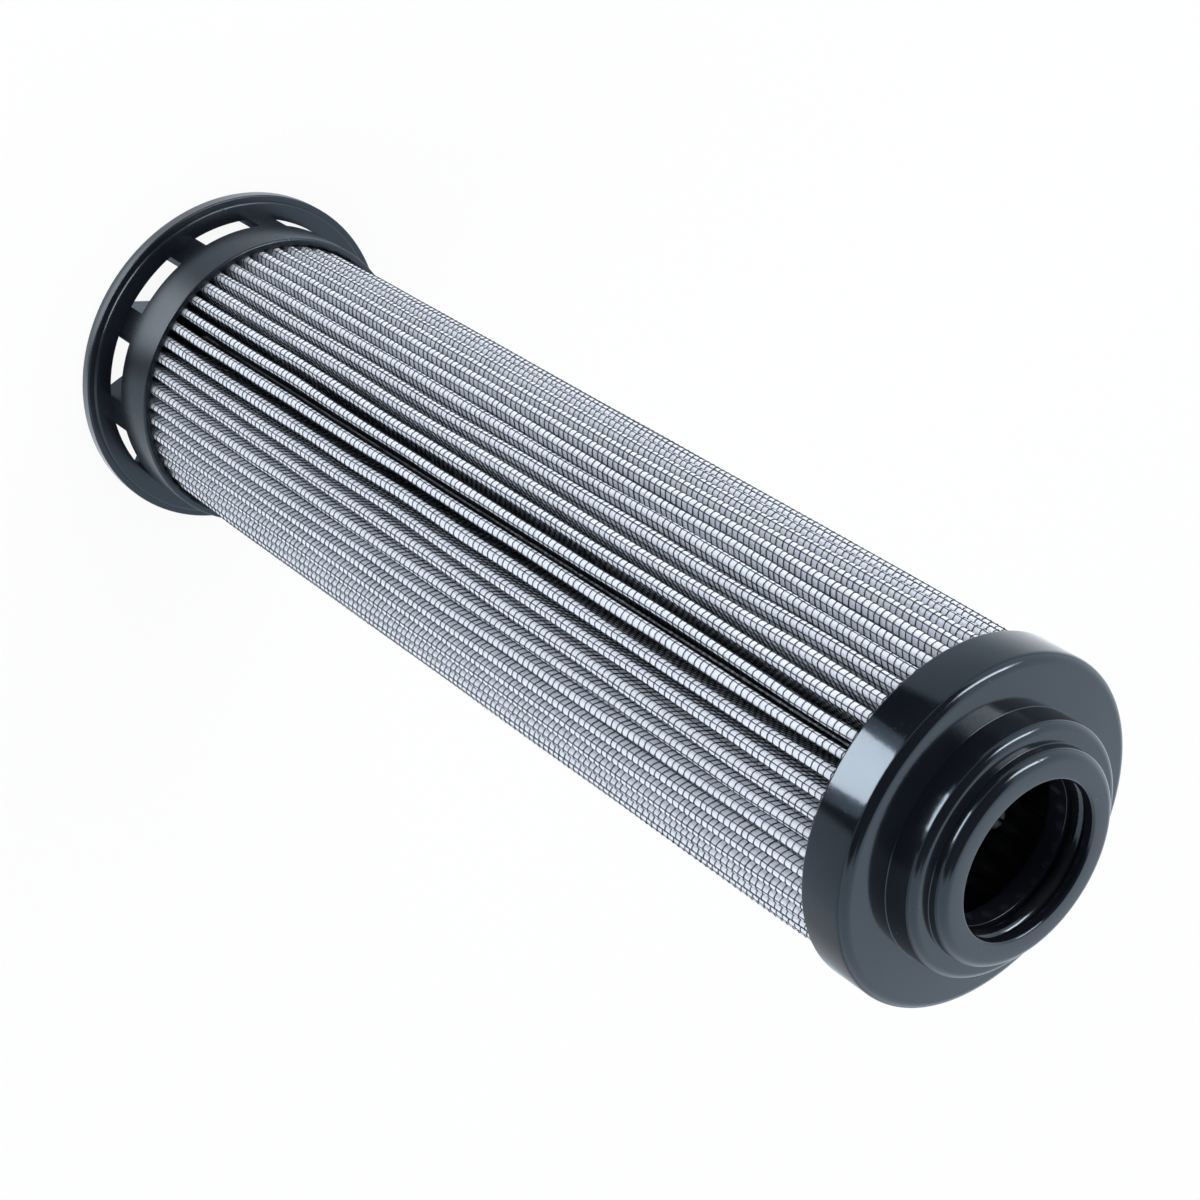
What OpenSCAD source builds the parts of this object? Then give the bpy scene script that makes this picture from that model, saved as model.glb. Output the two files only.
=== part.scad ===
// Pleated cartridge element of a hydraulic return line, standing on its flange ring.
// The origin is at the centre of the ring's lower face, and +Z runs up the axis to the spigot.

/* [Pleated pack] */
// Number of pleats around the pack
pleat_count = 52; // [40:1:56]
// Diameter over the crests of the pleats
pack_d = 68.3; // [64:0.1:76]
// Length of the pleats between the two adhesive beds
pack_len = 242.2; // [80:0.1:400]
// Radius of the fold at a crest, at the middle of the stacked layers
crest_r = 0.75; // [0.6:0.05:0.9]
// Radius of the fold at a root, at the middle of the stacked layers
root_r = 0.7; // [0.6:0.05:0.75]
// Turn of the first pleat from the X axis, in degrees
pleat_turn = 1.5; // [0:0.1:6]
// Gap between the roots of the pleats and the core tube
root_gap = 0.2; // [0.1:0.05:0.5]

/* [Layers] */
// Thickness of the outer wire mesh
outer_mesh_t = 0.18; // [0.1:0.01:0.25]
// Thickness of the outer fleece
outer_fleece_t = 0.14; // [0.08:0.01:0.2]
// Thickness of the filter medium
media_t = 0.26; // [0.15:0.01:0.3]
// Thickness of the inner fleece
inner_fleece_t = 0.14; // [0.08:0.01:0.2]
// Thickness of the inner wire mesh
inner_mesh_t = 0.18; // [0.1:0.01:0.25]
// Thickness of the glued side seam
seam_t = 0.2; // [0.1:0.05:0.25]
// Depth of the side seam along its pleat
seam_depth = 7; // [3:0.5:8]

/* [Core tube] */
// Outer diameter of the core tube
core_d = 41; // [38:0.5:43]
// Wall of the core tube
core_wall = 0.8; // [0.5:0.1:1.5]
// Diameter of a hole in the core tube
core_hole_d = 6; // [3:0.5:7]
// Holes in one ring of holes
core_holes_around = 10; // [6:1:14]
// Distance between two rings of holes
core_hole_pitch = 20; // [15:1:30]
// Plain length at each end of the core tube
core_plain_end = 12; // [8:1:30]

/* [Both caps] */
// Wall of both cups around the pleats
cap_wall = 1.7; // [1.2:0.1:3]
// Gap between the crests and the cup walls
cup_gap = 0.3; // [0.1:0.05:1]
// Thickness of the adhesive bed in each cup
bed_t = 1.5; // [1:0.1:4]
// Radial play of the core tube in its seats
core_fit = 0.1; // [0.05:0.05:0.3]
// Rounding of the free edges of both cups
lip_round = 0.5; // [0.2:0.1:0.7]

/* [Outlet cap] */
// Height of the cup wall over the pleats, from its rim to the adhesive side of the plate
outlet_cup_h = 7.8; // [3:0.1:20]
// Thickness of the plate
outlet_plate_t = 3.2; // [2.6:0.1:6]
// Rounding at the outer corner of the plate
outlet_round = 2; // [0.5:0.1:2.6]
// Depth of the core tube's seat in the plate
core_seat_h = 1.7; // [0.8:0.1:2]
// Diameter of the collar
collar_d = 52; // [49:0.5:60]
// Height of the collar
collar_h = 6.7; // [4:0.1:12]
// Rounding at the collar's outer corner
collar_round = 1.9; // [0.5:0.1:2.4]
// Diameter of the spigot
spigot_d = 44; // [42:0.2:46]
// Height of the spigot over the collar
spigot_h = 3.3; // [3:0.1:20]
// Rounding at the spigot's outer corner
spigot_round = 2; // [0.5:0.1:2.2]
// Fillet where the collar and the spigot rise from the faces below them
step_fillet = 0.3; // [0.1:0.05:0.5]
// Bore of the spigot
bore_d = 32.6; // [28:0.1:34]
// Rounding at the mouth of the bore
mouth_round = 0.6; // [0.2:0.1:1]
// Length of the land between the mouth and the groove
mouth_land = 2.1; // [1.5:0.1:4]
// Width of the O-ring groove
groove_w = 4.5; // [4.2:0.1:5]
// Thickness of the O-ring's cord
ring_cord_d = 3.5; // [3.3:0.05:3.6]
// How far the O-ring stands out of its groove into the bore
ring_proud = 0.2; // [0.1:0.05:0.5]
// Gap between the O-ring and the bottom of its groove
ring_gap = 0.05; // [0.02:0.01:0.1]

/* [Flange cap] */
// How far the flange ring stands out from the cup
flange_w = 5.55; // [4:0.05:12]
// Thickness of the flange ring at its rim
flange_t = 3; // [2:0.1:6]
// Rounding of the flange ring's edges
flange_round = 0.4; // [0.2:0.1:0.8]
// Width of the rim outside the raised land
rim_w = 1.4; // [1:0.1:2.5]
// Height of the land over the rim, with its edge rounded by as much
land_h = 0.65; // [0.3:0.05:1]
// Height of the windows between the land and the floor
window_h = 5.15; // [4:0.05:12]
// Number of windows
window_count = 10; // [6:1:10]
// Width of a window at the outside of the skirt, in degrees
window_angle = 24; // [18:1:26]
// Slant of a window's sides from its middle plane, in degrees
window_slant = 36; // [25:1:42]
// Wall of the skirt that holds the windows
skirt_wall = 1.4; // [1.2:0.1:2.5]
// Thickness of the vane that runs inwards from one side of each window
vane_t = 1.4; // [1:0.1:2]
// Length of a vane's face, from the outside of the skirt to its inner end
vane_len = 7.4; // [4:0.1:8]
// Width and height of the sill at the foot of each window
sill_w = 0.1; // [0.05:0.05:0.5]
// Height of the wall left between the windows and the underside of the floor
lintel_h = 0.3; // [0.1:0.05:1]
// Thickness of the floor that closes the cup
floor_t = 2.7; // [2:0.1:6]
// Height of the cup wall over the floor
flange_cup_h = 7.8; // [4:0.1:20]
// Height of the boss that centres the core tube
boss_h = 2.5; // [1:0.1:5]

/* [Hidden] */
$fn = 96;
// Extra length of a cutter past the face it goes through
cut = 1;

pack_r = pack_d / 2;
core_r = core_d / 2;
bore_r = bore_d / 2;
collar_r = collar_d / 2;
spigot_r = spigot_d / 2;
cup_in_r = pack_r + cup_gap;
cup_out_r = cup_in_r + cap_wall;
skirt_in_r = cup_out_r - skirt_wall;
flange_r = cup_out_r + flange_w;
core_in_r = core_r - core_wall;

// Half of the stacked layers: offsets run from -half_stack (core side) to half_stack (outside)
half_stack = (outer_mesh_t + outer_fleece_t + media_t + inner_fleece_t + inner_mesh_t) / 2;
outer_fleece_o = half_stack - outer_mesh_t;
media_o = outer_fleece_o - outer_fleece_t;
inner_fleece_o = media_o - media_t;
inner_mesh_o = inner_fleece_o - inner_fleece_t;

// Levels along the axis
land_z = flange_t + land_h;
sill_z = land_z + sill_w;
lintel_z = sill_z + window_h;
floor_z = lintel_z + lintel_h;
bed_z = floor_z + floor_t;
pack_z = bed_z + bed_t;
pack_top_z = pack_z + pack_len;
plate_z = pack_top_z + bed_t;
face_z = plate_z + outlet_plate_t;
collar_z = face_z + collar_h;
tip_z = collar_z + spigot_h;
core_top_z = plate_z + core_seat_h;
groove_top_z = tip_z - mouth_land;
groove_z = groove_top_z - groove_w;
groove_r = bore_r - ring_proud + ring_cord_d + ring_gap;

// Folds of the pleats
pleat_step = 360 / pleat_count;
crest_centre_r = pack_r - crest_r - half_stack;
root_centre_r = core_r + root_gap + root_r + half_stack;
crest_sweep = [-70, 0, 70];
root_sweep = [240, 120];

// Points of an arc around [cx, cz], from one angle to another
function arc(cx, cz, r, from, to, steps = 6) =
    [for (i = [0:steps]) let (a = from + (to - from) * i / steps) [cx + r * cos(a), cz + r * sin(a)]];

// Points of one fold: its centre lies at a radius and an angle, its sweep turns with that angle
function fold(centre_r, centre_a, r, sweep) =
    [for (s = sweep) [centre_r * cos(centre_a) + r * cos(centre_a + s),
        centre_r * sin(centre_a) + r * sin(centre_a + s)]];

// Closed outline of the pleats at an offset from the middle of the layers
function pleat_outline(offset) = [for (i = [0:pleat_count - 1]) let (a = pleat_turn + i * pleat_step)
    each concat(fold(crest_centre_r, a, crest_r + offset, crest_sweep),
        fold(root_centre_r, a + pleat_step / 2, root_r - offset, root_sweep))];

// One pleated layer between two offsets
module pleated_layer(outside, inside) {
    translate([0, 0, pack_z])
        linear_extrude(pack_len)
            difference() {
                polygon(pleat_outline(outside));
                polygon(pleat_outline(inside));
            }
}

// Flat ring with a round hole
module washer(inner_r, outer_r, z, thickness) {
    translate([0, 0, z])
        rotate_extrude()
            translate([inner_r, 0])
                square([outer_r - inner_r, thickness]);
}

// Moulded cap at the outlet: cup, plate, collar, spigot and the bore with its groove
module outlet_cap() {
    rim_z = plate_z - outlet_cup_h;
    color("#202329")
        rotate_extrude()
            polygon(concat(
                arc(cup_in_r + lip_round, rim_z + lip_round, lip_round, 180, 270),
                arc(cup_out_r - lip_round, rim_z + lip_round, lip_round, 270, 360),
                arc(cup_out_r - outlet_round, face_z - outlet_round, outlet_round, 0, 90),
                arc(collar_r + step_fillet, face_z + step_fillet, step_fillet, 270, 180),
                arc(collar_r - collar_round, collar_z - collar_round, collar_round, 0, 90),
                arc(spigot_r + step_fillet, collar_z + step_fillet, step_fillet, 270, 180),
                arc(spigot_r - spigot_round, tip_z - spigot_round, spigot_round, 0, 90),
                arc(bore_r + mouth_round, tip_z - mouth_round, mouth_round, 90, 180),
                [[bore_r, groove_top_z], [groove_r, groove_top_z], [groove_r, groove_z],
                    [bore_r, groove_z], [bore_r, core_top_z], [core_r + core_fit, core_top_z],
                    [core_r + core_fit, plate_z], [cup_in_r, plate_z]]));
}

// O-ring that seals on the tube pushed into the bore
module bore_o_ring() {
    color("#15161a")
        translate([0, 0, groove_z + groove_w / 2])
            rotate_extrude()
                translate([bore_r - ring_proud + ring_cord_d / 2, 0])
                    circle(d = ring_cord_d);
}

// Point on the slanted side of a window, at a distance outwards from its outer corner along the side
// and at a distance from the side towards the post
function side_point(out, off = 0) =
    [cup_out_r * cos(window_angle / 2) + out * cos(window_slant) - off * sin(window_slant),
        cup_out_r * sin(window_angle / 2) + out * sin(window_slant) + off * cos(window_slant)];

// Block that becomes a vane once the window's cutter has faced it
module vane_block() {
    sunk = vane_t / 4;
    linear_extrude(floor_z + floor_t / 2)
        polygon([side_point(-skirt_wall / 4, -sunk), side_point(-skirt_wall / 4, vane_t),
            side_point(-vane_len, vane_t), side_point(-vane_len, -sunk)]);
}

// Cutter for a window and for the slot below it that opens the ring from behind
module window_cutter() {
    behind = side_point(-skirt_wall - 2 * cut);
    outside = side_point(2 * cut);
    intersection() {
        rotate_extrude()
            polygon([[0, -cut], [cup_out_r - sill_w, -cut], [cup_out_r - sill_w, sill_z],
                [cup_out_r + cut, sill_z], [cup_out_r + cut, lintel_z], [0, lintel_z]]);
        translate([0, 0, -2 * cut])
            linear_extrude(lintel_z + 3 * cut)
                polygon([outside, side_point(-vane_len - cut), [behind[0], -behind[1]],
                    [outside[0], -outside[1]]]);
    }
}

// Moulded cap at the closed end: flange ring, skirt with windows and vanes, floor and cup
module flange_cap() {
    rim_z = bed_z + flange_cup_h;
    step_r = flange_r - rim_w;
    boss_r = core_in_r - core_fit;
    color("#202329")
        difference() {
            union() {
                rotate_extrude()
                    polygon(concat(
                        [[0, floor_z], [skirt_in_r, floor_z], [skirt_in_r, 0]],
                        arc(flange_r - flange_round, flange_round, flange_round, 270, 360),
                        arc(flange_r - flange_round, flange_t - flange_round, flange_round, 0, 90),
                        arc(step_r - land_h, flange_t, land_h, 0, 90),
                        [[cup_out_r, land_z]],
                        arc(cup_out_r - lip_round, rim_z - lip_round, lip_round, 0, 90),
                        arc(cup_in_r + lip_round, rim_z - lip_round, lip_round, 90, 180),
                        [[cup_in_r, bed_z], [boss_r, bed_z], [boss_r, bed_z + boss_h], [0, bed_z + boss_h]]));
                for (i = [0:window_count - 1])
                    rotate(i * 360 / window_count)
                        vane_block();
            }
            for (i = [0:window_count - 1])
                rotate(i * 360 / window_count)
                    window_cutter();
        }
}

// Perforated tube that keeps the pleats from collapsing inwards
module core_tube() {
    length = core_top_z - bed_z;
    rings = floor((length - 2 * core_plain_end) / core_hole_pitch) + 1;
    first_z = bed_z + (length - (rings - 1) * core_hole_pitch) / 2;
    color("#b9bcc0")
        difference() {
            washer(core_in_r, core_r, bed_z, length);
            for (ring = [0:rings - 1], i = [0:core_holes_around - 1])
                translate([0, 0, first_z + ring * core_hole_pitch])
                    rotate((i + (ring % 2) / 2) * 360 / core_holes_around)
                        rotate([0, 90, 0])
                            translate([0, 0, core_in_r - cut])
                                cylinder(d = core_hole_d, h = core_wall + 2 * cut, $fn = 24);
        }
}

// Black wire mesh on the outside of the pleats
module outer_mesh() {
    color("#4a4d55")
        pleated_layer(half_stack, outer_fleece_o);
}

// Fleece between the outer mesh and the medium
module outer_fleece() {
    color("#e8ebf0")
        pleated_layer(outer_fleece_o, media_o);
}

// Glass fibre medium that does the filtering
module filter_media() {
    color("#f6f7f9")
        pleated_layer(media_o, inner_fleece_o);
}

// Fleece between the medium and the inner mesh
module inner_fleece() {
    color("#e8ebf0")
        pleated_layer(inner_fleece_o, inner_mesh_o);
}

// Wire mesh on the core side of the pleats
module inner_mesh() {
    color("#8d9096")
        pleated_layer(inner_mesh_o, -half_stack);
}

// Glue line inside the first pleat, where the two ends of the pleated web are joined
module pleat_seam() {
    mid_r = (crest_centre_r + root_centre_r) / 2;
    color("#d9c79a")
        rotate(pleat_turn)
            translate([mid_r - seam_depth / 2, -seam_t / 2, pack_z])
                cube([seam_depth, seam_t, pack_len]);
}

// Adhesive under the outlet cap's plate
module outlet_bed() {
    color("#3b3d42")
        washer(core_r + core_fit, cup_in_r, pack_top_z, bed_t);
}

// Adhesive on the flange cap's floor
module flange_bed() {
    color("#3b3d42")
        washer(core_r + core_fit, cup_in_r, bed_z, bed_t);
}

outlet_cap();
bore_o_ring();
flange_cap();
core_tube();
outer_mesh();
outer_fleece();
filter_media();
inner_fleece();
inner_mesh();
pleat_seam();
outlet_bed();
flange_bed();
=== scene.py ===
import math

import bmesh
import bpy
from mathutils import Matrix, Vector


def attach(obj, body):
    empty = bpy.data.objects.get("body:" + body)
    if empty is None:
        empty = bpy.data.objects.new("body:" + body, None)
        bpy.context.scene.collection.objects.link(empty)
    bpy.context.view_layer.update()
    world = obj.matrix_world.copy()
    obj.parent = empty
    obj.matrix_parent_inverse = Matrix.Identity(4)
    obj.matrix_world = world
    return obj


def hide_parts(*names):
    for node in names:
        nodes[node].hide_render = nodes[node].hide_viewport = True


# A pleated cartridge for a hydraulic return line: two moulded caps and a wire covered pleated pack.
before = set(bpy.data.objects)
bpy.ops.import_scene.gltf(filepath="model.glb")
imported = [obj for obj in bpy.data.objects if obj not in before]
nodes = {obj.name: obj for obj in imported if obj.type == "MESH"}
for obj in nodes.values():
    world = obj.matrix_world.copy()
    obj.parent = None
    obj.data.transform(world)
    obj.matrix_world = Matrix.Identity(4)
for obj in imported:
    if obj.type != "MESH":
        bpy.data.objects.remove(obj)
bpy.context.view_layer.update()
scene = bpy.context.scene
scene.view_settings.view_transform = "Standard"
mm = 0.001


# Helpers for node trees, for geometry and materials alike

def addNode(tree, kind, values=None, **settings):
    made = tree.nodes.new(kind)
    for key, value in settings.items():
        setattr(made, key, value)
    for key, value in (values or {}).items():
        if isinstance(value, bpy.types.NodeSocket):
            tree.links.new(value, made.inputs[key])
        else:
            made.inputs[key].default_value = value
    return made


def calc(tree, operation, *values):
    return addNode(tree, "ShaderNodeMath", dict(enumerate(values)), operation=operation).outputs[0]


def clampTo(tree, value, low, high):  # a smooth step: 0 at low, 1 at high
    return addNode(tree, "ShaderNodeMapRange", {0: value, 1: low, 2: high, 3: 0.0, 4: 1.0},
                   interpolation_type="SMOOTHSTEP").outputs[0]


def choose(tree, switch, off, on):  # off where switch is 0, on where it is 1
    return calc(tree, "MULTIPLY_ADD", switch, calc(tree, "SUBTRACT", on, off), off)


def splitVector(tree, vector):
    return addNode(tree, "ShaderNodeSeparateXYZ", {0: vector}).outputs


def joinVector(tree, x, y, z):
    return addNode(tree, "ShaderNodeCombineXYZ", {0: x, 1: y, 2: z}).outputs[0]


# Helpers for materials

def newMaterial(name, o):
    material = bpy.data.materials.new(name)
    material.use_nodes = True
    tree = material.node_tree
    shader = tree.nodes["Principled BSDF"]
    shader.inputs["Base Color"].default_value = (*o["color"], 1)
    shader.inputs["Roughness"].default_value = o["roughness"]
    for key, value in o.get("inputs", {}).items():
        shader.inputs[key].default_value = value
    place = addNode(tree, "ShaderNodeTexCoord").outputs["Object"]
    return material, tree, shader, place


def noise(tree, place, scale, detail=2.0, roughness=0.5):
    return addNode(tree, "ShaderNodeTexNoise", {"Vector": place, "Scale": scale, "Detail": detail,
                   "Roughness": roughness}).outputs[0]


def stretched(tree, place, x, y, z, turn=(0, 0, 0)):
    return addNode(tree, "ShaderNodeMapping",
                   {"Vector": place, "Scale": (x, y, z), "Rotation": turn}).outputs[0]


def ramp(tree, factor, stops):  # stops are (place, colour)
    made = addNode(tree, "ShaderNodeValToRGB", {0: factor})
    for element, (at, color) in zip(made.color_ramp.elements, stops):
        element.position = at
        element.color = (*color, 1)
    return made.outputs[0]


def mixColor(tree, factor, first, second):
    made = addNode(tree, "ShaderNodeMix", {0: factor}, data_type="RGBA")
    for socket, value in ((made.inputs[6], first), (made.inputs[7], second)):
        if isinstance(value, bpy.types.NodeSocket):
            tree.links.new(value, socket)
        else:
            socket.default_value = (*value, 1)
    return made.outputs[2]


def bumpChain(tree, shader, *layers):  # layers are (height, strength, distance in metres)
    normal = None
    for height, strength, distance in layers:
        made = addNode(tree, "ShaderNodeBump",
                       {"Height": height, "Strength": strength, "Distance": distance})
        if normal is not None:
            tree.links.new(normal, made.inputs["Normal"])
        normal = made.outputs[0]
    tree.links.new(normal, shader.inputs["Normal"])


def specks(tree, place, scale, size, share):  # sparse round specks: 1 in a speck, else 0
    cell = addNode(tree, "ShaderNodeTexVoronoi", {"Vector": place, "Scale": scale})
    close = calc(tree, "LESS_THAN", cell.outputs["Distance"], size)
    picked = calc(tree, "GREATER_THAN", splitVector(tree, cell.outputs["Color"])[0], 1 - share)
    return calc(tree, "MULTIPLY", close, picked)


def mottle(tree, shader, patch, o):  # colour, and roughness where the look gives it, follow one noise
    tree.links.new(ramp(tree, patch, o["tones"]), shader.inputs["Base Color"])
    if "rough" in o:
        tree.links.new(calc(tree, "MULTIPLY_ADD", patch, *o["rough"]), shader.inputs["Roughness"])


# Materials. A single number is a noise's scale and three are its scales in X, Y and Z. "tones" are the two
# stops of a ramp, "rough" is how much the noise adds and to what level, and a bump is its strength and its
# height in metres.
meshRows = {"first": 18.6, "pitch": 1.66}  # lowest cross wire and step from wire to wire, in mm
blackSheen = {"Specular Tint": (0.77, 0.89, 1.0, 1.0)}

glossLook = {
    "color": (0.007, 0.0085, 0.0125), "roughness": 0.1, "inputs": blackSheen, "cloud": 60, "grain": 900,
    "tones": [(0.3, (0.0055, 0.0066, 0.0100)), (0.7, (0.0090, 0.0103, 0.0150))],
    "scratch": (60, 3200, 3200), "scratchTurn": (0.4, 0.9, 0.3), "scratchEdge": (0.67, 0.74),
    "smear": (420, 420, 150), "smearRoughness": 0.65,
    "dust": (420, 0.05, 0.16), "dustColor": (0.14, 0.15, 0.17),  # specks: scale, size and share of cells
    "leastRough": 0.03, "cloudRough": 0.08, "smearRough": 0.08, "scratchRough": 0.16, "dustRough": 0.4,
    "cloudBump": (0.08, 0.00025), "smearBump": (0.10, 0.00004), "grainBump": (0.10, 0.00004),
    "scratchBump": (0.16, 0.00003),
}


def glossPlastic(o):
    material, tree, shader, place = newMaterial("glossPlastic", o)
    cloud = noise(tree, place, o["cloud"], 3)
    grain = noise(tree, place, o["grain"], 2)
    scratch = noise(tree, stretched(tree, place, *o["scratch"], o["scratchTurn"]), 1.0, 2)
    scratch = clampTo(tree, scratch, *o["scratchEdge"])
    smear = noise(tree, stretched(tree, place, *o["smear"]), 1.0, 4, o["smearRoughness"])
    dust = specks(tree, place, *o["dust"])
    tone = mixColor(tree, dust, ramp(tree, cloud, o["tones"]), o["dustColor"])
    tree.links.new(tone, shader.inputs["Base Color"])
    rough = o["leastRough"]
    for layer, share in ((cloud, o["cloudRough"]), (smear, o["smearRough"]), (scratch, o["scratchRough"]),
                         (dust, o["dustRough"])):
        rough = calc(tree, "MULTIPLY_ADD", layer, share, rough)
    tree.links.new(rough, shader.inputs["Roughness"])
    bumpChain(tree, shader, (cloud, *o["cloudBump"]), (smear, *o["smearBump"]), (grain, *o["grainBump"]),
              (scratch, *o["scratchBump"]))
    return material


satinLook = {
    "color": (0.006, 0.007, 0.010), "roughness": 0.27, "inputs": blackSheen, "cloud": 70, "grain": 2600,
    "tones": [(0.3, (0.0045, 0.0055, 0.0085)), (0.7, (0.008, 0.009, 0.0135))], "rough": (0.12, 0.20),
    "rub": (400, 400, 60), "rubEdge": (0.58, 0.75), "rubShare": 0.3, "rubColor": (0.022, 0.024, 0.030),
    "grainBump": (0.12, 0.00004), "cloudBump": (0.08, 0.00015),
}


def satinPlastic(o):
    material, tree, shader, place = newMaterial("satinPlastic", o)
    cloud = noise(tree, place, o["cloud"], 4)
    grain = noise(tree, place, o["grain"], 2)
    rub = clampTo(tree, noise(tree, stretched(tree, place, *o["rub"]), 1.0, 4), *o["rubEdge"])
    tone = ramp(tree, cloud, o["tones"])
    tone = mixColor(tree, calc(tree, "MULTIPLY", rub, o["rubShare"]), tone, o["rubColor"])
    tree.links.new(tone, shader.inputs["Base Color"])
    tree.links.new(calc(tree, "MULTIPLY_ADD", cloud, *o["rough"]), shader.inputs["Roughness"])
    bumpChain(tree, shader, (grain, *o["grainBump"]), (cloud, *o["cloudBump"]))
    return material


rubberLook = {
    "color": (0.005, 0.0055, 0.007), "roughness": 0.12, "inputs": blackSheen, "bloom": 140, "grain": 2200,
    "tones": [(0.35, (0.004, 0.0045, 0.006)), (0.75, (0.011, 0.012, 0.014))], "rough": (0.08, 0.07),
    "grainBump": (0.12, 0.00004),
}


def sealRubber(o):
    material, tree, shader, place = newMaterial("sealRubber", o)
    mottle(tree, shader, noise(tree, place, o["bloom"], 4), o)
    bumpChain(tree, shader, (noise(tree, place, o["grain"], 2), *o["grainBump"]))
    return material


fleeceLook = {
    "color": (0.80, 0.83, 0.90), "roughness": 0.85, "cloud": 260,
    "fibre": (5200, 5200, 1500), "fibreRoughness": 0.6,
    "tones": [(0.25, (0.78, 0.825, 0.925)), (0.7, (0.875, 0.91, 0.975))],
    "cloudShare": 0.25, "cloudColor": (0.90, 0.925, 0.975),
    "pillowBump": (0.12, 0.00012), "fibreBump": (0.3, 0.00006),  # a pillow between each two cross wires
}


def fleece(o, rows):
    material, tree, shader, place = newMaterial("fleece", o)
    fibre = noise(tree, stretched(tree, place, *o["fibre"]), 1.0, 3, o["fibreRoughness"])
    cloud = noise(tree, place, o["cloud"], 3)
    tone = ramp(tree, fibre, o["tones"])
    tone = mixColor(tree, calc(tree, "MULTIPLY", cloud, o["cloudShare"]), tone, o["cloudColor"])
    tree.links.new(tone, shader.inputs["Base Color"])
    height = calc(tree, "SUBTRACT", splitVector(tree, place)[2], rows["first"] * mm)
    along = calc(tree, "DIVIDE", height, rows["pitch"] * mm)
    pillow = calc(tree, "ABSOLUTE", calc(tree, "SINE", calc(tree, "MULTIPLY", along, math.pi)))
    bumpChain(tree, shader, (pillow, *o["pillowBump"]), (fibre, *o["fibreBump"]))
    return material


wireLook = {
    "color": (0.012, 0.014, 0.019), "roughness": 0.38, "inputs": {"Specular IOR Level": 0.3},
    "patch": 900, "grain": 5000, "rough": (0.25, 0.25), "grainBump": (0.2, 0.00003),
    "tones": [(0.35, (0.006, 0.008, 0.012)), (0.75, (0.020, 0.023, 0.030))],
}


def coatedWire(o):
    material, tree, shader, place = newMaterial("coatedWire", o)
    mottle(tree, shader, noise(tree, place, o["patch"], 3), o)
    bumpChain(tree, shader, (noise(tree, place, o["grain"], 2), *o["grainBump"]))
    return material


greyLook = {
    "color": (0.10, 0.105, 0.115), "roughness": 0.45, "inputs": {"Metallic": 0.6}, "patch": 700,
    "tones": [(0.3, (0.06, 0.064, 0.072)), (0.7, (0.14, 0.145, 0.155))],
    "rowBump": (0.5, 0.0001), "patchBump": (0.2, 0.00005),
}


def greyMesh(o, rows):
    material, tree, shader, place = newMaterial("greyMesh", o)
    patch = noise(tree, place, o["patch"], 3)
    mottle(tree, shader, patch, o)
    turns = calc(tree, "MULTIPLY", splitVector(tree, place)[2], 2 * math.pi / (rows["pitch"] * mm))
    bumpChain(tree, shader, (calc(tree, "SINE", turns), *o["rowBump"]), (patch, *o["patchBump"]))
    return material


steelLook = {
    "color": (0.26, 0.265, 0.28), "roughness": 0.25, "inputs": {"Metallic": 1.0}, "drawn": (1800, 1800, 40),
    "tones": [(0.3, (0.20, 0.205, 0.215)), (0.7, (0.31, 0.315, 0.33))], "rough": (0.16, 0.12),
    "drawnBump": (0.15, 0.00004),
}


def tubeSteel(o):
    material, tree, shader, place = newMaterial("tubeSteel", o)
    drawn = noise(tree, stretched(tree, place, *o["drawn"]), 1.0, 3)
    mottle(tree, shader, drawn, o)
    bumpChain(tree, shader, (drawn, *o["drawnBump"]))
    return material


resinLook = {"roughness": 0.4, "cloud": 180, "rough": (0.3, 0.25), "cloudBump": (0.3, 0.0003)}
resinTones = {
    "adhesive": {"color": (0.05, 0.052, 0.058),
                 "tones": [(0.3, (0.03, 0.031, 0.036)), (0.7, (0.05, 0.052, 0.058))]},
    "glue": {"color": (0.66, 0.56, 0.36),
             "tones": [(0.3, (0.5, 0.4, 0.24)), (0.7, (0.66, 0.56, 0.36))]},
}


def setResin(name, o):
    material, tree, shader, place = newMaterial(name, o)
    cloud = noise(tree, place, o["cloud"], 3)
    mottle(tree, shader, cloud, o)
    bumpChain(tree, shader, (cloud, *o["cloudBump"]))
    return material


gloss = glossPlastic(glossLook)
satin = satinPlastic(satinLook)
rubber = sealRubber(rubberLook)
white = fleece(fleeceLook, meshRows)
wire = coatedWire(wireLook)
inner = greyMesh(greyLook, meshRows)
steel = tubeSteel(steelLook)
adhesive, glue = [setResin(name, {**resinLook, **tones}) for name, tones in resinTones.items()]
print("materials made")


# CAD nodes that keep their own shape
for name, material in (("core_tube", steel), ("outlet_bed", adhesive), ("flange_bed", adhesive),
                       ("pleat_seam", glue)):
    for holder in nodes[name].material_slots:
        holder.material = material


def addObject(name, mesh):
    made = bpy.data.objects.new(name, mesh)
    scene.collection.objects.link(made)
    return made


def declare(piece, slot, *replaced):
    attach(piece, "root")
    if replaced:
        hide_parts(*replaced)


# Shading of the flange cap and the seal, which are copies of their nodes: angle in degrees, lengths in mm
smoothing = {
    "sharpAngle": 32,
    "turnedLimit": 0.12,  # a face is turned about the axis where its normal leans less than this sideways
    "axisRadius": 0.01,  # nearer to the axis than this, a point has no outward direction
    "weld": 0.002,
}


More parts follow.
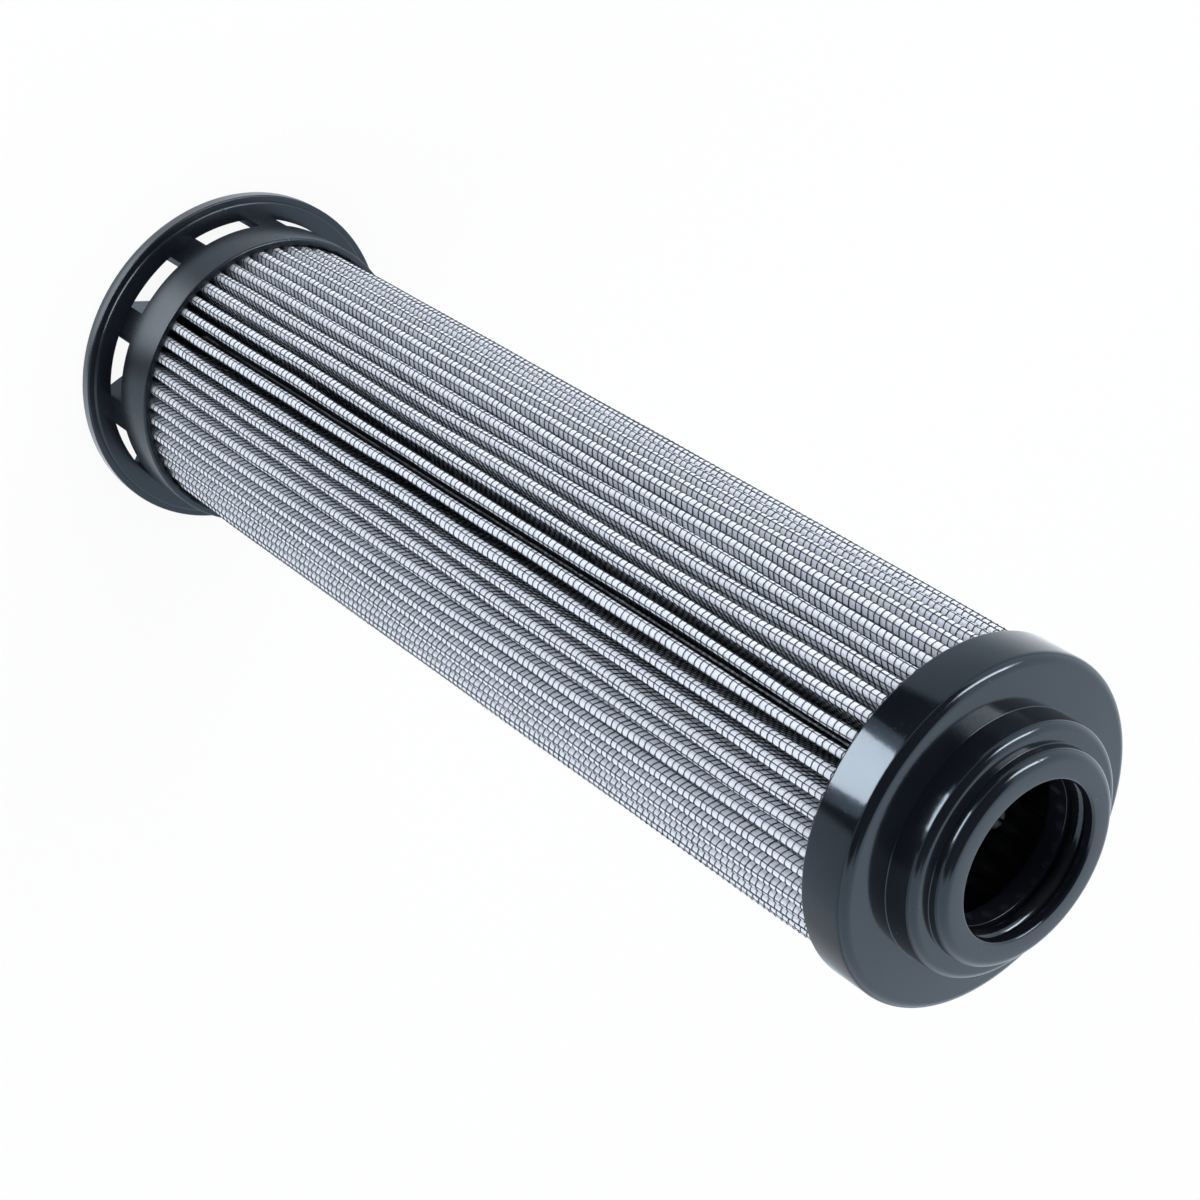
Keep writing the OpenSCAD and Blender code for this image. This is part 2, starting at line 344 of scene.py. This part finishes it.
def turnedNormals(mesh, o):  # exact normals on turned surfaces, flat ones on all other faces
    faces = []
    atVertex = [[] for _ in mesh.vertices]
    for face in mesh.polygons:
        out = Vector((face.center.x, face.center.y)).normalized()
        sideways = face.normal.y * out.x - face.normal.x * out.y
        slope = Vector((face.normal.x * out.x + face.normal.y * out.y, face.normal.z)).normalized()
        turned = abs(sideways) < o["turnedLimit"]
        faces.append((turned, slope))
        if turned:
            for corner in face.vertices:
                atVertex[corner].append((slope, face.area))
    limit = math.cos(math.radians(o["sharpAngle"]))
    normals = []
    for face, (turned, slope) in zip(mesh.polygons, faces):
        for corner in face.vertices:
            if not turned:
                normals.append(face.normal.copy())
                continue
            near = [other * area for other, area in atVertex[corner] if other.dot(slope) > limit]
            blend = sum(near, Vector((0, 0))).normalized()
            place = mesh.vertices[corner].co
            out = Vector((place.x, place.y))
            out = out.normalized() if out.length > o["axisRadius"] * mm else Vector((1, 0))
            normals.append(Vector((blend.x * out.x, blend.x * out.y, blend.y)))
    mesh.normals_split_custom_set(normals)


def smoothCopy(name, node, material, slot, o):  # the node's own shape, merged and shaded smooth
    mesh = nodes[node].data.copy()
    mesh.name = name
    work = bmesh.new()
    work.from_mesh(mesh)
    bmesh.ops.remove_doubles(work, verts=work.verts, dist=o["weld"] * mm)
    work.to_mesh(mesh)
    work.free()
    mesh.polygons.foreach_set("use_smooth", [True] * len(mesh.polygons))
    turnedNormals(mesh, o)
    mesh.materials.clear()
    mesh.materials.append(material)
    declare(addObject(name, mesh), slot, node)


smoothCopy("flangeCapMoulding", "flange_cap", satin, "cap_satin", smoothing)
smoothCopy("boreSeal", "bore_o_ring", rubber, "seal_rubber", smoothing)
print("flange cap and seal made")


# Outlet cap: a turned outline with round corners. Radii, levels and roundings in mm.
outletCap = {
    "segments": 192,  # steps around
    "arcSteps": 8,  # steps in a rounded corner
    "sharpAngle": 35,  # degrees at which an edge is shaded sharp
    "cupInside": 34.45, "cupOutside": 36.15, "cupRim": 249.3, "plateUnder": 257.1, "face": 260.3,
    "collar": 26.0, "collarTop": 267.0, "spigot": 22.0, "tip": 270.3, "bore": 16.3,
    "groove": 19.65, "grooveTop": 268.2, "grooveFoot": 263.7, "seat": 20.6, "seatTop": 258.8,
    "lipRound": 0.5, "plateRound": 2.0, "collarRound": 1.7, "spigotRound": 2.0, "mouthRound": 0.6,
    "stepRound": 0.2, "grooveRound": 0.15, "innerRound": 0.9, "unrounded": 0,
}


def roundedOutline(corners, steps):  # corners are (r, z, rounding); each rounding becomes an arc
    points = []
    for i, (r, z, rounding) in enumerate(corners):
        here = Vector((r, z))
        if rounding == 0:
            points.append(here)
            continue
        before = (Vector(corners[i - 1][:2]) - here).normalized()
        after = (Vector(corners[(i + 1) % len(corners)][:2]) - here).normalized()
        centre = here + (before + after) * rounding
        for k in range(steps + 1):
            turn = k / steps * math.pi / 2
            points.append(centre - after * rounding * math.cos(turn) - before * rounding * math.sin(turn))
    return points


def turnedPiece(name, outline, material, o):
    segments = o["segments"]
    count = len(outline)
    verts = []
    for s in range(segments):
        a = 2 * math.pi * s / segments
        verts += [(p.x * mm * math.cos(a), p.x * mm * math.sin(a), p.y * mm) for p in outline]
    faces = []
    for s in range(segments):
        t = (s + 1) % segments
        for k in range(count):
            m = (k + 1) % count
            faces.append((s * count + k, t * count + k, t * count + m, s * count + m))
    mesh = bpy.data.meshes.new(name)
    mesh.from_pydata(verts, [], faces)
    mesh.polygons.foreach_set("use_smooth", [True] * len(faces))
    mesh.set_sharp_from_angle(angle=math.radians(o["sharpAngle"]))
    mesh.materials.append(material)
    return addObject(name, mesh)


def makeOutletCap(o):
    outline = [  # radius, level and rounding of each corner, from the rim over the spigot and back inside
        ("cupInside", "cupRim", "lipRound"), ("cupOutside", "cupRim", "lipRound"),
        ("cupOutside", "face", "plateRound"), ("collar", "face", "stepRound"),
        ("collar", "collarTop", "collarRound"), ("spigot", "collarTop", "stepRound"),
        ("spigot", "tip", "spigotRound"), ("bore", "tip", "mouthRound"),
        ("bore", "grooveTop", "grooveRound"), ("groove", "grooveTop", "unrounded"),
        ("groove", "grooveFoot", "unrounded"), ("bore", "grooveFoot", "grooveRound"),
        ("bore", "seatTop", "innerRound"), ("seat", "seatTop", "unrounded"),
        ("seat", "plateUnder", "unrounded"), ("cupInside", "plateUnder", "unrounded"),
    ]
    corners = [[o[key] for key in corner] for corner in outline]
    piece = turnedPiece("outletCapTurned", roundedOutline(corners, o["arcSteps"]), gloss, o)
    declare(piece, "cap_gloss", "outlet_cap")


makeOutletCap(outletCap)
print("outlet cap made")


# Pleated pack: every layer and wire follows the same folds and leans with the same field. Lengths in metres.
pleatSizes = {
    "Pleats": 52, "Turn": math.radians(1.5),  # turn of the first pleat from the X axis
    "Crest centre": 32.95 * mm, "Crest radius": 0.75 * mm,
    "Root centre": 21.85 * mm, "Root radius": 0.7 * mm,
    "Lean": 0.65 * mm,  # how far a crest may wander sideways
    "Lean scale": 150.0, "Lean stretch": 0.16,  # noise across the pleats, and how much slower along them
    "Swell": 0.22 * mm,  # how much the pack swells between the cups
    "Unevenness": 0.35 * mm,  # how much crests differ in height
    "Fade": 22 * mm,  # how far from a cup the swell reaches its full size
    "Most share": 1.2,  # how far the outermost points may move, as a share of the crest centre's move
    "Foot": 13.4 * mm, "Head": 255.6 * mm, "Cup foot": 19.2 * mm, "Cup head": 249.8 * mm,
}
heightField = (0.31, 0.17, 0.53)  # shift from the noise that leans the pleats to the one for their height
foldPoints = {  # points in each crest and in each root
    "pleatedMedia": (7, 5), "innerMeshLayer": (3, 2), "crossWires": (5, 3), "longWires": (7, 5),
}


def newTree(name, extra):
    tree = bpy.data.node_groups.new(name, "GeometryNodeTree")
    sizes = {**pleatSizes, **extra}
    for key, value in sizes.items():
        kind = "NodeSocketInt" if isinstance(value, int) else "NodeSocketFloat"
        if isinstance(value, bpy.types.Material):
            kind = "NodeSocketMaterial"
        made = tree.interface.new_socket(key, in_out="INPUT", socket_type=kind)
        made.default_value = value
    tree.interface.new_socket("Geometry", in_out="OUTPUT", socket_type="NodeSocketGeometry")
    given = addNode(tree, "NodeGroupInput").outputs
    return tree, {key: given[key] for key in sizes}


def pleatPoint(tree, given, index, offset, folds):  # X and Y of a point of the folded line
    crestPoints, rootPoints = folds
    each = crestPoints + rootPoints
    pleat = calc(tree, "FLOOR", calc(tree, "DIVIDE", index, each))
    place = calc(tree, "SUBTRACT", index, calc(tree, "MULTIPLY", pleat, each))
    onCrest = calc(tree, "LESS_THAN", place, crestPoints - 0.5)
    step = calc(tree, "DIVIDE", 2 * math.pi, given["Pleats"])
    halfTurns = choose(tree, onCrest, calc(tree, "ADD", pleat, 0.5), pleat)
    around = calc(tree, "MULTIPLY_ADD", halfTurns, step, given["Turn"])
    crestSweep = calc(tree, "MULTIPLY_ADD", place, math.pi / (crestPoints - 1), -math.pi / 2)
    rootPlace = calc(tree, "SUBTRACT", place, crestPoints)
    rootSweep = calc(tree, "MULTIPLY_ADD", rootPlace, -math.pi / (rootPoints - 1), 1.5 * math.pi)
    turned = calc(tree, "ADD", around, choose(tree, onCrest, rootSweep, crestSweep))
    centre = choose(tree, onCrest, given["Root centre"], given["Crest centre"])
    radius = choose(tree, onCrest, calc(tree, "SUBTRACT", given["Root radius"], offset),
                    calc(tree, "ADD", given["Crest radius"], offset))
    return [calc(tree, "ADD", calc(tree, "MULTIPLY", centre, calc(tree, wave, around)),
                 calc(tree, "MULTIPLY", radius, calc(tree, wave, turned))) for wave in ("COSINE", "SINE")]


def leaned(tree, given, place):  # where the leaning, slightly swollen pack carries a point
    x, y, z = splitVector(tree, place)
    radius = calc(tree, "SQRT", calc(tree, "ADD", *[calc(tree, "MULTIPLY", side, side) for side in (x, y)]))
    rootInside = calc(tree, "SUBTRACT", given["Root centre"], given["Root radius"])
    share = calc(tree, "DIVIDE", calc(tree, "SUBTRACT", radius, rootInside),
                 calc(tree, "SUBTRACT", given["Crest centre"], rootInside))
    share = addNode(tree, "ShaderNodeClamp", {0: share, 1: 0.0, 2: given["Most share"]}).outputs[0]
    unit = calc(tree, "DIVIDE", given["Crest centre"], radius)
    sample = joinVector(tree, calc(tree, "MULTIPLY", x, unit), calc(tree, "MULTIPLY", y, unit),
                        calc(tree, "MULTIPLY", z, given["Lean stretch"]))
    sideways = calc(tree, "SUBTRACT", noise(tree, sample, given["Lean scale"], 1.0), 0.5)
    angle = calc(tree, "MULTIPLY", calc(tree, "MULTIPLY", sideways, share),
                 calc(tree, "DIVIDE", calc(tree, "MULTIPLY", given["Lean"], 2.0), given["Crest centre"]))
    far = addNode(tree, "ShaderNodeVectorMath", {0: sample, 1: heightField}, operation="ADD").outputs[0]
    uneven = calc(tree, "SUBTRACT", noise(tree, far, given["Lean scale"], 1.0), 0.5)
    up = clampTo(tree, z, given["Cup foot"], calc(tree, "ADD", given["Cup foot"], given["Fade"]))
    down = clampTo(tree, z, given["Cup head"], calc(tree, "SUBTRACT", given["Cup head"], given["Fade"]))
    free = calc(tree, "MULTIPLY", up, down)
    growth = calc(tree, "MULTIPLY_ADD", uneven, given["Unevenness"], given["Swell"])
    growth = calc(tree, "MULTIPLY", calc(tree, "MULTIPLY", growth, share), free)
    factor = calc(tree, "ADD", 1.0, calc(tree, "DIVIDE", growth, radius))
    turned = addNode(tree, "ShaderNodeVectorRotate", {"Vector": joinVector(tree, x, y, z), "Angle": angle},
                     rotation_type="Z_AXIS").outputs[0]
    tx, ty, tz = splitVector(tree, turned)
    return joinVector(tree, calc(tree, "MULTIPLY", tx, factor), calc(tree, "MULTIPLY", ty, factor), tz)


def setPlace(tree, geometry, place):
    return addNode(tree, "GeometryNodeSetPosition", {"Geometry": geometry, "Position": place}).outputs[0]


def realized(tree, geometry):
    return addNode(tree, "GeometryNodeRealizeInstances", {"Geometry": geometry}).outputs[0]


def finishTree(tree, given, geometry):
    geometry = addNode(tree, "GeometryNodeSetShadeSmooth", {"Geometry": geometry}).outputs[0]
    painted = addNode(tree, "GeometryNodeSetMaterial",
                      {"Geometry": realized(tree, geometry), "Material": given["Material"]})
    addNode(tree, "NodeGroupOutput", {0: painted.outputs[0]})


# Two pleated sheets: offsets of their faces from the folded line, and rows of points from foot to head
mediaSizes = {"Outside": 0.27 * mm, "Inside": -0.27 * mm, "Material": white}
mediaRows = 44
innerSizes = {"Outside": -0.28 * mm, "Inside": -0.45 * mm, "Material": inner}
innerRows = 24
closeGap = 0.001 * mm  # points nearer than this are one


def makeLayerTree(name, sizes, rows):  # a closed pleated sheet between two offsets
    tree, given = newTree(name, sizes)
    around = calc(tree, "MULTIPLY", given["Pleats"], sum(foldPoints[name]))
    grid = addNode(tree, "GeometryNodeMeshGrid", {"Size X": 1.0, "Size Y": 1.0,
                   "Vertices X": calc(tree, "ADD", around, 1), "Vertices Y": 2 * rows + 1})
    gx, gy, _ = splitVector(tree, addNode(tree, "GeometryNodeInputPosition").outputs[0])
    index = calc(tree, "ROUND", calc(tree, "MULTIPLY", calc(tree, "ADD", gx, 0.5), around))
    step = calc(tree, "ROUND", calc(tree, "MULTIPLY", calc(tree, "ADD", gy, 0.5), 2 * rows))
    step = calc(tree, "FLOORED_MODULO", step, 2 * rows)
    inside = calc(tree, "GREATER_THAN", step, rows - 0.5)
    back = calc(tree, "SUBTRACT", 2 * rows - 1, step)
    rise = calc(tree, "DIVIDE", choose(tree, inside, step, back), rows - 1)
    offset = choose(tree, inside, given["Outside"], given["Inside"])
    x, y = pleatPoint(tree, given, index, offset, foldPoints[name])
    place = leaned(tree, given, joinVector(tree, x, y, choose(tree, rise, given["Foot"], given["Head"])))
    sheet = setPlace(tree, grid.outputs[0], place)
    sheet = addNode(tree, "GeometryNodeMergeByDistance", {"Geometry": sheet, "Distance": closeGap})
    finishTree(tree, given, sheet.outputs[0])
    return tree


# The wires of the outer mesh
wireSides = 3
crossSizes = {
    "First": meshRows["first"] * mm, "Pitch": meshRows["pitch"] * mm, "Count": 10, "Offset": 0.38 * mm,
    "Wire radius": 0.127 * mm, "Waver": 0.9 * mm, "Waver scale": 420.0, "Material": wire,
}
crossParts = ((0, 46), (46, 46), (92, 47))  # the first wire of each piece and how many it has
longSizes = {
    "Spacing": 1.93 * mm, "Rows": 26, "Offset": 0.34 * mm, "Wire radius": 0.118 * mm, "Material": wire,
}


def foldedLine(tree, given, folds):  # the closed folded line at height 0, as edges
    around = calc(tree, "MULTIPLY", given["Pleats"], sum(folds))
    ring = addNode(tree, "GeometryNodeMeshCircle", {"Vertices": around}, fill_type="NONE").outputs[0]
    index = addNode(tree, "GeometryNodeInputIndex").outputs[0]
    x, y = pleatPoint(tree, given, index, given["Offset"], folds)
    return setPlace(tree, ring, joinVector(tree, x, y, 0.0))


def wireFrom(tree, given, lines, capped):
    curve = addNode(tree, "GeometryNodeMeshToCurve", {"Mesh": lines}).outputs[0]
    section = addNode(tree, "GeometryNodeCurvePrimitiveCircle",
                      {"Resolution": wireSides, "Radius": given["Wire radius"]})
    return addNode(tree, "GeometryNodeCurveToMesh", {"Curve": curve, "Profile Curve": section.outputs[0],
                   "Fill Caps": capped}).outputs[0]


def wavered(tree, given):  # leaned place, with the small waver of a thin wire
    place = addNode(tree, "GeometryNodeInputPosition").outputs[0]
    x, y, z = splitVector(tree, leaned(tree, given, place))
    drift = calc(tree, "SUBTRACT", noise(tree, place, given["Waver scale"], 2.0), 0.5)
    return joinVector(tree, x, y, calc(tree, "MULTIPLY_ADD", drift, given["Waver"], z))


def makeCrossTree():  # wires that run around the pack, over the crests and into the valleys
    tree, given = newTree("crossWires", crossSizes)
    line = foldedLine(tree, given, foldPoints["crossWires"])
    stack = addNode(tree, "GeometryNodeMeshLine", {"Count": given["Count"],
                    "Start Location": joinVector(tree, 0.0, 0.0, given["First"]),
                    "Offset": joinVector(tree, 0.0, 0.0, given["Pitch"])})
    rings = addNode(tree, "GeometryNodeInstanceOnPoints", {"Points": stack.outputs[0], "Instance": line})
    rings = setPlace(tree, realized(tree, rings.outputs[0]), wavered(tree, given))
    finishTree(tree, given, wireFrom(tree, given, rings, False))
    return tree


def makeLongTree():  # wires that run along the pleats, evenly spaced over the folded line
    tree, given = newTree("longWires", longSizes)
    line = foldedLine(tree, given, foldPoints["longWires"])
    line = addNode(tree, "GeometryNodeMeshToCurve", {"Mesh": line}).outputs[0]
    spots = addNode(tree, "GeometryNodeResampleCurve", {"Curve": line, "Length": given["Spacing"]},
                    mode="LENGTH")
    span = calc(tree, "SUBTRACT", given["Cup head"], given["Cup foot"])
    gap = calc(tree, "DIVIDE", span, calc(tree, "SUBTRACT", given["Rows"], 1))
    single = addNode(tree, "GeometryNodeMeshLine", {"Count": given["Rows"],
                     "Start Location": joinVector(tree, 0.0, 0.0, given["Cup foot"]),
                     "Offset": joinVector(tree, 0.0, 0.0, gap)})
    many = addNode(tree, "GeometryNodeInstanceOnPoints",
                   {"Points": spots.outputs[0], "Instance": single.outputs[0]})
    place = addNode(tree, "GeometryNodeInputPosition").outputs[0]
    many = setPlace(tree, realized(tree, many.outputs[0]), leaned(tree, given, place))
    finishTree(tree, given, wireFrom(tree, given, many, True))
    return tree


def growPiece(name, tree, values, slot, *replaced):
    piece = addObject(name, bpy.data.meshes.new(name))
    modifier = piece.modifiers.new("grow", "NODES")
    modifier.node_group = tree
    for item in tree.interface.items_tree:
        if item.in_out == "INPUT" and item.name in values:
            modifier[item.identifier] = values[item.name]
    graph = bpy.context.evaluated_depsgraph_get()
    plain = bpy.data.meshes.new_from_object(piece.evaluated_get(graph))
    piece.modifiers.remove(modifier)
    piece.data = plain
    declare(piece, slot, *replaced)
    plain.calc_loop_triangles()
    print(name, len(plain.loop_triangles), "triangles")


growPiece("pleatedMedia", makeLayerTree("pleatedMedia", mediaSizes, mediaRows), {}, "fleece",
          "outer_fleece", "filter_media", "inner_fleece")
growPiece("innerMeshLayer", makeLayerTree("innerMeshLayer", innerSizes, innerRows), {}, "mesh_grey",
          "inner_mesh")
crossTree = makeCrossTree()
for part, (first, count) in enumerate(crossParts):
    level = (meshRows["first"] + meshRows["pitch"] * first) * mm
    growPiece(f"crossWires{part + 1}", crossTree, {"First": level, "Count": count}, "mesh_black",
              "outer_mesh")
growPiece("longWires", makeLongTree(), {}, "mesh_black")
print("pleated pack made")


# Camera, floor and lights: angles in degrees, lengths in metres
def direction(azimuth, elevation):
    a, e = math.radians(azimuth), math.radians(elevation)
    return Vector((math.cos(a) * math.cos(e), math.sin(a) * math.cos(e), math.sin(e)))


photoCamera = {
    "place": (0.35991, -0.20091, 0.52725), "turn": (-30.3905, -38.2924, -166.0277),
    "lens": 80.214, "sensor": 36, "nearest": 0.01,
}


def makeCamera(o):
    camera = addObject("camera", bpy.data.cameras.new("camera"))
    camera.location = o["place"]
    camera.rotation_euler = [math.radians(a) for a in o["turn"]]
    camera.data.lens = o["lens"]
    camera.data.sensor_width = o["sensor"]
    camera.data.clip_start = o["nearest"]
    scene.camera = camera


floorLook = {
    "radius": 4.0, "segments": 64, "sunk": 0.05 * mm,
    "color": (0.86, 0.87, 0.88), "roughness": 0.9, "inputs": {"Specular IOR Level": 0.0},
    "ownWhite": 0.92,  # share of plain white in what the camera sees, the rest is the shaded paper
    "clearing": (0.3, 1.2),  # distances over which the shading fades into plain white
    "glossColor": (0.70, 0.83, 0.95),
}


def makeFloor(o):
    count = o["segments"]
    mesh = bpy.data.meshes.new("studioFloor")
    rim = [direction(360 * i / count, 0) * o["radius"] - Vector((0, 0, o["sunk"])) for i in range(count)]
    mesh.from_pydata(rim, [], [tuple(range(count))])
    floor = addObject("studioFloor", mesh)
    material, tree, shader, place = newMaterial("floorPaper", o)
    path = addNode(tree, "ShaderNodeLightPath").outputs
    seen = calc(tree, "MAXIMUM", path["Is Camera Ray"], calc(tree, "MAXIMUM", path["Is Glossy Ray"],
                path["Is Transmission Ray"]))
    distance = addNode(tree, "ShaderNodeVectorMath", {0: place}, operation="LENGTH").outputs["Value"]
    away = clampTo(tree, distance, *o["clearing"])
    share = choose(tree, away, o["ownWhite"], 1.0)
    look = mixColor(tree, path["Is Glossy Ray"], (1.0, 1.0, 1.0), o["glossColor"])
    own = addNode(tree, "ShaderNodeEmission", {"Color": look, "Strength": 1.0})
    mix = addNode(tree, "ShaderNodeMixShader", {0: calc(tree, "MULTIPLY", seen, share),
                  1: shader.outputs[0], 2: own.outputs[0]})
    tree.links.new(mix.outputs[0], tree.nodes["Material Output"].inputs["Surface"])
    mesh.materials.append(material)


# The room: a white tent that is open and dark in the gloss towards the front and straight above
room = {
    "level": 1.0, "frontLevel": 0.60, "tint": (0.93, 0.96, 1.0),  # what lights the object
    "glossLevel": 1.55, "openLevel": 0.045, "glossTint": (0.78, 0.89, 1.0),  # what shows in its gloss
    "openings": ((-35, 25, 57), (-35, 76, 31)), "soft": 6,  # azimuth, elevation and half the width of each
}


def makeWorld(o):
    world = bpy.data.worlds.new("studio")
    scene.world = world
    world.use_nodes = True
    tree = world.node_tree
    back = tree.nodes["Background"]
    back.inputs["Color"].default_value = (*o["tint"], 1)
    path = addNode(tree, "ShaderNodeLightPath").outputs
    place = addNode(tree, "ShaderNodeTexCoord").outputs["Object"]
    inside = None
    for azimuth, elevation, angle in o["openings"]:
        along = addNode(tree, "ShaderNodeVectorMath", {0: place, 1: direction(azimuth, elevation)},
                        operation="DOT_PRODUCT").outputs["Value"]
        edge = [math.cos(math.radians(angle + side * o["soft"])) for side in (1, -1)]
        share = clampTo(tree, along, *edge)
        inside = share if inside is None else calc(tree, "MAXIMUM", inside, share)
    tree.links.new(choose(tree, inside, o["level"], o["frontLevel"]), back.inputs["Strength"])
    strength = choose(tree, inside, o["glossLevel"], o["openLevel"])
    shown = addNode(tree, "ShaderNodeBackground", {"Color": (*o["glossTint"], 1), "Strength": strength})
    seen = addNode(tree, "ShaderNodeBackground", {"Color": (1, 1, 1, 1), "Strength": 1.0})
    glossy = calc(tree, "MAXIMUM", path["Is Glossy Ray"], path["Is Transmission Ray"])
    mix = addNode(tree, "ShaderNodeMixShader", {0: glossy, 1: back.outputs[0], 2: shown.outputs[0]})
    mix = addNode(tree, "ShaderNodeMixShader",
                  {0: path["Is Camera Ray"], 1: mix.outputs[0], 2: seen.outputs[0]})
    tree.links.new(mix.outputs[0], tree.nodes["World Output"].inputs["Surface"])


# Cards just over the floor that show only in the gloss. Angles in degrees, reach in metres, height in mm.
cards = {
    "nearGlow": {"from": -43, "to": -11, "reach": (0.0425, 0.13), "soft": 10, "level": 3.6, "height": 0.4},
    "rimGlow": {"from": -95, "to": 55, "reach": (0.0418, 0.0440), "soft": 15, "level": 1.9, "height": 0.2},
    "nearShade": {"from": -6, "to": 4, "reach": (0.0425, 0.13), "soft": 6, "level": 0.5, "height": 0.6},
    "farShade": {"from": -76, "to": 10, "reach": (0.18, 1.2), "soft": 3, "level": 0.03, "height": 0.4},
    "backGlow": {"from": -215, "to": -145, "reach": (0.18, 1.2), "soft": 18, "level": 1.45, "height": 0.2},
    "sideShade": {"from": 75, "to": 125, "reach": (0.18, 1.2), "soft": 12, "level": 0.65, "height": 0.3},
}
cardLook = {"color": (0, 0, 0), "roughness": 1.0, "glow": (0.9, 0.95, 1.0), "steps": 24}


def makeCard(name, o, look):
    steps = look["steps"]
    first, last = o["from"] - o["soft"], o["to"] + o["soft"]
    rows = [[direction(first + (last - first) * i / steps, 0) * reach for i in range(steps + 1)]
            for reach in o["reach"]]
    mesh = bpy.data.meshes.new(name)
    mesh.from_pydata([(p.x, p.y, o["height"] * mm) for row in rows for p in row], [],
                     [(i, i + steps + 1, i + steps + 2, i + 1) for i in range(steps)])
    card = addObject(name, mesh)
    material, tree, _, place = newMaterial(name, look)
    middle = (first + last) / 2
    turned = addNode(tree, "ShaderNodeVectorRotate", {"Vector": place, "Angle": math.radians(-middle)},
                     rotation_type="Z_AXIS").outputs[0]
    x, y, _ = splitVector(tree, turned)
    azimuth = calc(tree, "ARCTAN2", y, x)
    edges = [(math.radians(o[side] - middle - o["soft"]), math.radians(o[side] - middle + o["soft"]))
             for side in ("from", "to")]
    rise, fall = [clampTo(tree, azimuth, *edge) for edge in edges]
    share = calc(tree, "MULTIPLY", rise, calc(tree, "SUBTRACT", 1.0, fall))
    glow = addNode(tree, "ShaderNodeEmission", {"Color": (*look["glow"], 1), "Strength": o["level"]})
    clear = addNode(tree, "ShaderNodeBsdfTransparent")
    mix = addNode(tree, "ShaderNodeMixShader", {0: share, 1: clear.outputs[0], 2: glow.outputs[0]})
    tree.links.new(mix.outputs[0], tree.nodes["Material Output"].inputs["Surface"])
    mesh.materials.append(material)
    card.visible_camera = card.visible_diffuse = card.visible_shadow = False


# Lamps: the direction and distance in which each stands from its target, its size, radiance and colour
lamps = {
    "keyBox": {"azimuth": -112, "elevation": 39, "distance": 1.3, "size": (0.95, 0.40),
               "radiance": 3.2, "color": (1.0, 1.0, 1.0), "target": (0, 0, 0.2), "onlyGloss": True},
    "keyCore": {"azimuth": -113, "elevation": 41, "distance": 1.29, "size": (0.74, 0.22),
                "radiance": 14.0, "color": (1.0, 1.0, 1.0), "target": (0, 0, 0.2), "onlyGloss": True},
    "frontBox": {"azimuth": -24, "elevation": -31, "distance": 0.30, "size": (0.166, 0.20),
                 "radiance": 12.5, "color": (0.95, 0.97, 1.0), "target": (0.034, -0.014, 0.255),
                 "onlyGloss": True},
    "frontHalo": {"azimuth": -24, "elevation": -31, "distance": 0.31, "size": (0.27, 0.31),
                  "radiance": 0.36, "color": (0.70, 0.86, 1.0), "target": (0.034, -0.014, 0.255),
                  "onlyGloss": True, "spread": 62},
    "keySoft": {"azimuth": -100, "elevation": 35, "distance": 1.3, "size": (1.1, 1.0),
                "radiance": 2.35, "color": (1.0, 1.0, 1.0), "target": (0, 0, 0.14), "onlyDiffuse": True},
    "fillSoft": {"azimuth": 35, "elevation": 35, "distance": 1.5, "size": (1.2, 1.2),
                 "radiance": 1.35, "color": (0.93, 0.96, 1.0), "target": (0, 0, 0.14), "onlyDiffuse": True},
}


def makeLamp(name, o):
    light = bpy.data.lights.new(name, "AREA")
    light.shape = "RECTANGLE"
    light.size, light.size_y = o["size"]
    light.energy = o["radiance"] * math.pi * o["size"][0] * o["size"][1]
    light.color = o["color"]
    light.spread = math.radians(o.get("spread", 180))
    lamp = addObject(name, light)
    toward = direction(o["azimuth"], o["elevation"])
    lamp.location = Vector(o["target"]) + toward * o["distance"]
    lamp.rotation_euler = toward.to_track_quat("Z", "Y").to_euler()
    lamp.visible_camera = False
    lamp.visible_diffuse = not o.get("onlyGloss", False)
    lamp.visible_glossy = not o.get("onlyDiffuse", False)


makeCamera(photoCamera)
makeFloor(floorLook)
makeWorld(room)
for name, card in cards.items():
    makeCard(name, card, cardLook)
for name, lamp in lamps.items():
    makeLamp(name, lamp)
print("camera, floor and lights made")
